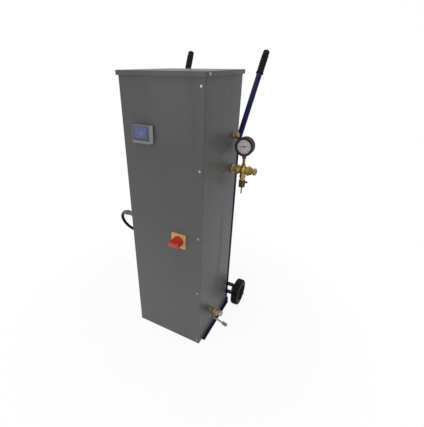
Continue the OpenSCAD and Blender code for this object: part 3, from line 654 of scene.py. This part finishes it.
def addWords(words, tall, thick, place):  # words that face the front, made into a mesh
    deselect()
    bpy.ops.object.text_add(location=place, rotation=(pi / 2, 0, 0))
    piece = bpy.context.object
    piece.data.body = words
    piece.data.size = tall
    piece.data.extrude = thick / 2
    piece.data.align_x = piece.data.align_y = "CENTER"
    piece.data.resolution_u = 3
    bpy.ops.object.convert(target="MESH")
    return bpy.context.object


# screws and bolts
screw = {
    "head": 0.0034, "tall": 0.0022, "seat": 0.0006, "crown": 0.0016,
    "slot": 0.0008, "slotLong": 0.0040, "slotDeep": 0.0026, "slotUp": 0.0012,
    "washer": 0.0042, "washerThick": 0.0008, "washerSoft": 0.0002,
}
# spin is the first screw's turn, and what each next one adds
panelScrews = {"fromEdge": 0.0115, "heights": (0.018, 0.272, 0.518, 0.762, 1.003), "spin": (0.4, 1.1)}
backScrews = {"fromEdge": 0.0215, "heights": (0.034, 0.272, 0.518, 0.762, 1.003), "spin": (0.2, 0.9)}
lidScrews = {"fromEnd": 0.021, "fromTop": 0.0075, "spin": (0, 0.7)}
bolt = {
    "flats": 0.011, "tall": 0.005, "seat": 0.0012, "rim": 0.0010, "crown": 0.0007, "soft": 0.0003,
    "washer": 0.0075, "washerThick": 0.0013, "washerRim": 0.0008, "washerCrown": 0.0002,
}
saddles = {
    "across": 0.09, "wide": 0.022, "tall": 0.016, "thick": 0.0045, "soft": 0.0012, "spin": (0.3, 1),
    "cutLong": 0.1,
}


def makeScrew(scale=1.0):  # pan head with a cross recess, on a flat washer, standing on z = 0
    tall, thick = screw["tall"], screw["washerThick"]
    head = addRod(screw["head"], tall, (0, 0, tall / 2 + screw["seat"]))
    roundEdges(head, lambda e: all(v.co.z > 0 for v in e.verts), screw["crown"], steps=6)
    for size in ((screw["slot"], screw["slotLong"]), (screw["slotLong"], screw["slot"])):
        cut(head, addBlock((*size, screw["slotDeep"]), (0, 0, tall + screw["slotUp"])))
    washer = addRod(screw["washer"], thick, (0, 0, thick / 2))
    roundEdges(washer, lambda e: abs(middle(e).z) > thick / 4, screw["washerSoft"], steps=2)
    joinTo(head, washer)
    head.data.transform(Matrix.Scale(scale, 4))
    return head


def makeHexHead(size):  # hexagon head with a chamfered top
    tall = size["tall"]
    head = addRod(size["flats"] / 2 / cos(pi / 6), tall, (0, 0, tall / 2 + size["seat"]), sides=6)
    crown(head, lambda f: f.normal.z > flat, size["rim"], (0, 0, size["crown"]))
    modify(head, "BEVEL", width=size["soft"], segments=2)
    return head


def makeBolt():
    head, thick = makeHexHead(bolt), bolt["washerThick"]
    washer = addRod(bolt["washer"], thick, (0, 0, thick / 2), sides=40)
    crown(washer, lambda f: f.normal.z > flat, bolt["washerRim"], (0, 0, bolt["washerCrown"]))
    joinTo(head, washer)
    return head


def fastenRow(master, name, places, direction, spin):
    first, step = spin
    for i, place in enumerate(places):
        fasten(master, f"{name}_{i + 1}", place, direction, first + step * i)


def placeScrews():
    master = makeScrew()
    low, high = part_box("front_left_panel")
    places = [(high.x - panelScrews["fromEdge"], low.y, height) for height in panelScrews["heights"]]
    fastenRow(master, "panelScrew", places, (0, -1, 0), panelScrews["spin"])
    low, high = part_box("back_right_panel")
    places = [(low.x + backScrews["fromEdge"], high.y, height) for height in backScrews["heights"]]
    fastenRow(master, "backScrew", places, (0, 1, 0), backScrews["spin"])
    low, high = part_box("lid")
    first, step = lidScrews["spin"]
    for i, (x, side) in enumerate([(high.x, 1), (low.x, -1)]):
        place = (x, low.y + lidScrews["fromEnd"], high.z - lidScrews["fromTop"])
        fasten(master, f"lidScrew_{i + 1}", place, (side, 0, 0), first + step * i)
    discard(master)


def clampCrossbars():  # a bolt on a hollowed saddle holds the cabinet's back to each crossbar
    master = makeBolt()
    first, step = saddles["spin"]
    for level in ("middle", "upper"):
        low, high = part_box(level + "_crossbar")
        centre, radius = (low + high) / 2, (high.z - low.z) / 2
        for i, side in enumerate((-1, 1)):
            x = side * saddles["across"]
            size = (saddles["wide"], saddles["thick"] + radius, saddles["tall"])
            saddle = addBlock(size, (x, centre.y + size[1] / 2, centre.z))
            modify(saddle, "BEVEL", width=saddles["soft"], segments=3)
            bpy.ops.object.transform_apply(location=True, rotation=False, scale=False)
            tube = addRod(radius, saddles["cutLong"], (x, centre.y, centre.z))
            tube.rotation_euler = (0, pi / 2, 0)
            cut(saddle, tube)
            complete(saddle, f"{level}Saddle_{i + 1}", "framePaint")
            place = (x, centre.y + size[1], centre.z)
            fasten(master, f"{level}Bolt_{i + 1}", place, (0, 1, 0), first + step * i)
    discard(master)


clampCrossbars()
placeScrews()
print("screws and bolts placed")


# wheel brackets
yoke = {  # strap bent twice beside the wheel, with the stub axle bolted through it
    "wide": 0.022, "thick": 0.005, "bend": 0.009, "soft": 0.0005, "up": 0.031, "down": 0.0225,
    "railRadius": 0.0105, "journal": 0.015, "journalGap": 0.0001, "cutLong": 0.2, "holeLong": 0.03,
}
axleHead = {"flats": 0.024, "tall": 0.008, "seat": 0, "rim": 0.0016, "crown": 0.0010, "soft": 0.0004}


def railMiddle(side, sign):  # across and back, on the straight lower part
    low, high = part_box(side + "_rail")
    tube = yoke["railRadius"]
    return (low.x + tube if sign > 0 else high.x - tube), low.y + tube


def bendYoke(side, sign):
    low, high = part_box(side + "_wheel_bracket")
    tyreLow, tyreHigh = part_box(side + "_tyre")
    axle = (tyreLow + tyreHigh) / 2
    outer = high.x if sign > 0 else low.x
    railX, railY = railMiddle(side, sign)
    size = (abs(outer - railX), yoke["wide"], yoke["up"] + yoke["down"])
    spot = ((outer + railX) / 2, axle.y, axle.z + (yoke["up"] - yoke["down"]) / 2)
    strap = addBlock(size, spot)
    bpy.ops.object.transform_apply(location=True, rotation=False, scale=False)

    def bent(edge):  # the two level edges beside the wheel
        one, two = (v.co for v in edge.verts)
        return abs(one.y - two.y) > yoke["wide"] / 2 and middle(edge).x * sign > spot[0] * sign

    roundEdges(strap, bent, yoke["bend"], steps=6)
    edit(strap, lambda f: abs(f.normal.y) > flat or f.normal.x * sign < -flat)
    bpy.ops.mesh.delete(type="FACE")
    bpy.ops.object.mode_set(mode="OBJECT")
    modify(strap, "SOLIDIFY", thickness=yoke["thick"], offset=-1)
    modify(strap, "BEVEL", width=yoke["soft"], segments=2, angle_limit=radians(50))
    cut(strap, addRod(yoke["railRadius"], yoke["cutLong"], (railX, railY, axle.z)))
    hole = addRod(yoke["journal"] / 2 + yoke["journalGap"], yoke["holeLong"], (outer, axle.y, axle.z))
    hole.rotation_euler = (0, pi / 2, 0)
    cut(strap, hole)
    complete(strap, side + "WheelYoke", "framePaint")
    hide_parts(side + "_wheel_bracket")

    stub = copyNode(side + "_axle")
    inner = outer - sign * yoke["thick"]
    bpy.ops.mesh.bisect(
        plane_co=(inner, 0, 0), plane_no=(sign, 0, 0), use_fill=True, clear_inner=True
    )
    bpy.ops.object.mode_set(mode="OBJECT")
    head = makeHexHead(axleHead)
    head.data.transform(Matrix.Translation((inner, axle.y, axle.z)) @ facing((-sign, 0, 0)))
    joinTo(stub, head)
    complete(stub, side + "StubAxle", "screwZinc")
    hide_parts(side + "_axle")


bendYoke("left", -1)
bendYoke("right", 1)
print("wheel brackets bent")


# toe plate
toePlate = {"corner": 0.151, "soft": 0.0005}  # corner is half the back edge's length


def trimToePlate():  # the plate's back corners slope in to the rails
    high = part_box("toe_plate")[1]
    piece = copyNode("toe_plate")
    for sign in (-1, 1):
        start = Vector((sign * high.x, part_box("back_right_panel")[1].y, 0))
        along = Vector((sign * toePlate["corner"], high.y, 0)) - start
        outward = (sign * along.y, -sign * along.x, 0)
        bpy.ops.mesh.select_all(action="SELECT")
        bpy.ops.mesh.bisect(plane_co=start, plane_no=outward, use_fill=True, clear_outer=True)
    bpy.ops.mesh.select_all(action="SELECT")
    bpy.ops.mesh.dissolve_limited(angle_limit=radians(1))
    bpy.ops.object.mode_set(mode="OBJECT")
    modify(piece, "BEVEL", width=toePlate["soft"], segments=2)
    complete(piece, "toePlateTrimmed", "framePaint")
    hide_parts("toe_plate")


trimToePlate()
print("toe plate trimmed")


# weld beads
weld = {"bead": 0.0019, "ripple": 0.16, "pitch": 0.0022, "steps": 60, "footUp": 0.0004}


def layBead(name, line):  # a rippled bead along a line of points
    travelled, radii = 0.0, []
    for i, place in enumerate(line):
        travelled += (Vector(place) - Vector(line[max(i - 1, 0)])).length
        radii.append(weld["bead"] * (1 + weld["ripple"] * sin(2 * pi * travelled / weld["pitch"])))
    complete(sweep(line, radii), name, "framePaint", smooth=60)


def wholeTurn():
    return [2 * pi * i / weld["steps"] for i in range(weld["steps"] + 1)]


def beadAround(bar, railX, railY, sign):  # where a crossbar's end meets its rail
    low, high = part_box(bar)
    radius, centre = (high.z - low.z) / 2, (low + high) / 2
    tube = yoke["railRadius"]
    line = []
    for turn in wholeTurn():
        y = centre.y + radius * cos(turn)
        off = y - railY
        if abs(off) < tube:
            inward = (tube * tube - off * off) ** 0.5
            line.append((turn, Vector((railX - sign * inward, y, centre.z + radius * sin(turn)))))
    if centre.y < railY:  # the touching half lies about turn 0, so the order starts below it
        line = [(turn - 2 * pi if turn > pi else turn, place) for turn, place in line]
        line.sort(key=lambda pair: pair[0])
    return [place for _, place in line]


def weldFrame():
    tube, foot = yoke["railRadius"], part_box("toe_plate")[1].z + weld["footUp"]
    for side, sign in (("left", -1), ("right", 1)):
        railX, railY = railMiddle(side, sign)
        ring = [(railX + tube * cos(turn), railY + tube * sin(turn), foot) for turn in wholeTurn()]
        layBead(side + "FootWeld", ring)
        for bar in ("lower", "middle", "upper"):
            layBead(f"{side}{bar.title()}Weld", beadAround(bar + "_crossbar", railX, railY, sign))


weldFrame()
print("weld beads laid")


# lid
lidShape = {"corner": 0.004, "topRound": 0.0025, "wall": 0.0015}


def pressLid():  # folded sheet lid, open below, with soft edges
    low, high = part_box("lid")
    size = high - low
    shell = addBlock(size, (low + high) / 2)
    corner, top = lidShape["corner"], lidShape["topRound"]
    roundEdges(shell, lambda e: abs(e.verts[0].co.z - e.verts[1].co.z) > size.z / 2, corner, steps=6)
    edit(shell, lambda f: f.normal.z < -flat)
    bpy.ops.mesh.delete(type="FACE")
    roundEdges(shell, lambda e: min(v.co.z for v in e.verts) > size.z / 4, top, steps=4)
    modify(shell, "SOLIDIFY", thickness=lidShape["wall"], offset=-1)
    complete(shell, "lidShell", "cabinetPaint")
    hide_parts("lid")


pressLid()
print("lid pressed")


# isolator switch
switch = {
    "words": {"ON": 0.38, "OFF": -0.35}, "wordUp": 0.40, "screwSpot": 0.38,  # shares of the plate's side
    "wordTall": 0.0050, "wordThick": 0.0003, "faceStep": 0.004,  # the face lies lower than the collar
    "line": (0.013, 0.0006, 0.0016), "lineOut": 0.011, "lineRim": 0.0004, "lineProud": 0.0002,
    "screwScale": 0.72, "screwSpin": 0.8,
}


def dressSwitch():
    low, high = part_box("isolator_plate")
    x, z = (low.x + high.x) / 2, (low.z + high.z) / 2
    side = high.x - low.x
    plateFace = high.y - switch["faceStep"]
    for word, across in switch["words"].items():
        spot = (x + side * across, plateFace, z + side * switch["wordUp"])
        letters = addWords(word, switch["wordTall"], switch["wordThick"], spot)
        complete(letters, "switchWord" + word.title(), "needleBlack")
    small = makeScrew(switch["screwScale"])
    for i, across in enumerate((-1, 1)):
        place = (x + across * side * switch["screwSpot"], plateFace, z - side * switch["screwSpot"])
        fasten(small, f"switchScrew_{i + 1}", place, (0, -1, 0), switch["screwSpin"] * i)
    discard(small)
    line = addBlock(switch["line"], (x + switch["lineOut"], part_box("isolator_knob")[0].y, z))
    crown(line, lambda f: f.normal.y < -flat, switch["lineRim"], (0, -switch["lineProud"], 0))
    # the line's darker red is painted shade of an engraving
    complete(line, "knobLine", "knobGroove", "isolator")


dressSwitch()
print("switch dressed")


# inlet's end
inletEnd = {
    "collar": {"start": 0.0000, "long": 0.0065, "radius": 0.0118, "crest": 0.0000},
    "thread": {"start": 0.0060, "long": 0.0100, "radius": 0.0104, "crest": 0.0006},
    "pitch": 0.0018, "perTurn": 6, "bore": 0.0071, "boreReach": 4, "inside": 0.0005, "roundness": 10,
    "soft": 0.0004, "sharpFrom": 60,  # degrees
}


def turnInletEnd(name, part, finish):  # bored round piece on the outer face of the inlet valve
    start, long, radius, crest = inletEnd[part].values()
    face, (low, high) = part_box("inlet_valve_body")[1].x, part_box("inlet_locknut")
    place = Vector((face - inletEnd["inside"] + start, (low.y + high.y) / 2, (low.z + high.z) / 2))
    count = round(long / inletEnd["pitch"] * inletEnd["perTurn"])
    line = [place + Vector((long * i / count, 0, 0)) for i in range(count + 1)]
    radii = [radius + crest * sin(2 * pi * i / inletEnd["perTurn"]) for i in range(count + 1)]
    piece = sweep(line, radii, inletEnd["roundness"])
    bore = addRod(inletEnd["bore"], inletEnd["boreReach"] * long, place)
    bore.data.transform(facing((1, 0, 0)))
    cut(piece, bore)
    sharp = radians(inletEnd["sharpFrom"])
    roundEdges(piece, lambda e: e.calc_face_angle(0) > sharp, inletEnd["soft"], steps=3)
    complete(piece, name, finish, smooth=50)


turnInletEnd("inletCollar", "collar", "brassDull")
turnInletEnd("inletThreadEnd", "thread", "brassPlated")
print("inlet's end turned")


# controller
display = {
    "digits": "60", "tall": 0.015, "thick": 0.0002,
    "gasket": 0.0012, "gasketProud": 0.0008, "gasketCorner": 0.0045, "gasketSoft": 0.0003,
    "keys": 3, "key": (0.010, 0.0012, 0.0034), "keySoft": 0.0005, "keyPitch": 0.017, "keyUp": 0.0042,
}


def dressController():
    low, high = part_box("controller_screen")
    x, z = (low.x + high.x) / 2, (low.z + high.z) / 2
    digits = addWords(display["digits"], display["tall"], display["thick"], (x, low.y, z))
    complete(digits, "screenDigits", "digitBlue")
    low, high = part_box("controller_housing")
    proud, thick = display["gasketProud"], display["gasket"]
    size = (high.x - low.x + 2 * proud, thick, high.z - low.z + 2 * proud)
    gasket = addBlock(size, (x, high.y - thick / 2, (low.z + high.z) / 2))
    corner = display["gasketCorner"]
    roundEdges(gasket, lambda e: abs(e.verts[0].co.y - e.verts[1].co.y) > thick / 2, corner, steps=6)
    modify(gasket, "BEVEL", width=display["gasketSoft"], segments=2)
    complete(gasket, "controllerGasket", "gasketRubber")
    for i in range(display["keys"]):
        across = (i - (display["keys"] - 1) / 2) * display["keyPitch"]
        key = addBlock(display["key"], (x + across, low.y, low.z + display["keyUp"]))
        modify(key, "BEVEL", width=display["keySoft"], segments=3)
        complete(key, f"controllerKey_{i + 1}", "keyGrey")


dressController()
print("controller dressed")


# gauge
gauge = {
    "ringWide": 0.0016, "ringTall": 0.0009, "ringSoft": 0.0003,
    "start": 225, "sweep": 270, "ticks": 50, "longEvery": 5,  # start and sweep in degrees
    "longTick": (0.0042, 0.0008), "shortTick": (0.0024, 0.0004), "tickRim": 0.2, "fromEdge": 0.0012,
    "numbers": ("0", "2", "4", "6", "8", "10"), "numberTall": 0.0058, "numberOut": 0.66, "thick": 0.0003,
}


def dressGauge():
    low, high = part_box("gauge_dial")
    centre = Vector(((low.x + high.x) / 2, low.y, (low.z + high.z) / 2))
    radius = (high.x - low.x) / 2

    def onDial(angle, reach):
        return centre + Vector((cos(angle) * reach, 0, sin(angle) * reach))

    marks = []
    for i in range(gauge["ticks"] + 1):
        angle = radians(gauge["start"] - gauge["sweep"] * i / gauge["ticks"])
        long, wide = gauge["shortTick"] if i % gauge["longEvery"] else gauge["longTick"]
        tick = addBlock((long, gauge["thick"], wide))
        crown(tick, lambda f: f.normal.y < -flat, wide * gauge["tickRim"], (0, 0, 0))
        spot = onDial(angle, radius - gauge["fromEdge"] - long / 2)
        tick.data.transform(Matrix.Translation(spot) @ Matrix.Rotation(-angle, 4, "Y"))
        marks.append(tick)
    for i, number in enumerate(gauge["numbers"]):
        angle = radians(gauge["start"] - gauge["sweep"] * i / (len(gauge["numbers"]) - 1))
        spot = onDial(angle, radius * gauge["numberOut"])
        marks.append(addWords(number, gauge["numberTall"], gauge["thick"], spot))
    joinTo(*marks)
    complete(marks[0], "dialMarks", "needleBlack")
    low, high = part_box("gauge_glass")
    ring = addRod((high.x - low.x) / 2, gauge["ringTall"], sides=96)
    edit(ring, lambda f: abs(f.normal.z) > flat)
    bpy.ops.mesh.inset(thickness=gauge["ringWide"])
    bpy.ops.mesh.delete(type="FACE")
    edit(ring, lambda e: len(e.link_faces) == 1, "EDGE")
    bpy.ops.mesh.bridge_edge_loops()
    bpy.ops.object.mode_set(mode="OBJECT")
    modify(ring, "BEVEL", width=gauge["ringSoft"], segments=2)
    spot = (centre.x, low.y - gauge["ringTall"] / 2, centre.z)
    ring.data.transform(Matrix.Translation(spot) @ facing((0, -1, 0)))
    complete(ring, "glassRing", "gaugeBlack")


dressGauge()
print("gauge dressed")


# cable
cable = {  # half a turn from the upper gland to the lower one, on the cabinet's left side
    "diameter": 0.012, "glandLong": 0.040, "upperHeight": 0.529, "lowerHeight": 0.436,
    "upperFromFront": 0.030, "lowerFromFront": 0.060, "steps": 16, "spanCuts": 3, "roundness": 8,
    "reliefLong": 11, "reliefWide": (0.0095, 0.0072), "reliefRing": 0.0006,  # length in points of the line
}


def cableRoute():  # middle line, from gland to gland
    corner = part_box("front_left_panel")[0]
    radius = (cable["upperHeight"] - cable["lowerHeight"]) / 2
    line = []
    for i in range(cable["steps"] + 1):
        turn = radians(90 - i * 180 / cable["steps"])
        share = (1 - sin(turn)) / 2
        line.append(Vector((
            corner.x - cable["glandLong"] - radius * cos(turn),
            corner.y + cable["upperFromFront"] + share * (cable["lowerFromFront"] - cable["upperFromFront"]),
            cable["lowerHeight"] + radius * (1 + sin(turn)),
        )))
    return line


def slipRelief(name, line):  # ringed taper over the end of the cable, where it leaves its gland
    count, (wide, narrow) = cable["reliefLong"], cable["reliefWide"]
    radii = []
    for i in range(count):
        ring = cable["reliefRing"] if i % 2 and i < count - 1 else 0
        radii.append(wide + (narrow - wide) * i / (count - 1) + ring)
    complete(sweep(line[:count], radii, roundness=6), name, "glandPlastic", smooth=50)


def layCable():
    route = cableRoute()
    deselect()
    bpy.ops.curve.primitive_bezier_curve_add()
    piece = bpy.context.object
    spline = piece.data.splines[0]
    spline.bezier_points.add(len(route) - 2)
    for point, place in zip(spline.bezier_points, route):
        point.co = place
        point.handle_left_type = point.handle_right_type = "AUTO"
    bpy.context.view_layer.update()
    knots = spline.bezier_points
    line = [knots[0].co.copy()]
    for one, two in zip(knots, knots[1:]):
        line += interpolate_bezier(
            one.co, one.handle_right, two.handle_left, two.co, cable["spanCuts"] + 1
        )[1:]
    piece.data.resolution_u = cable["spanCuts"]
    piece.data.bevel_depth = cable["diameter"] / 2
    piece.data.bevel_resolution = cable["roundness"]
    piece.data.use_fill_caps = True
    bpy.ops.object.convert(target="MESH")
    piece = complete(bpy.context.object, "linkCableSheath", "cableSheath", smooth=60)
    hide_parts("link_cable")
    slipRelief("upperBendRelief", line)


layCable()
print("cable laid")
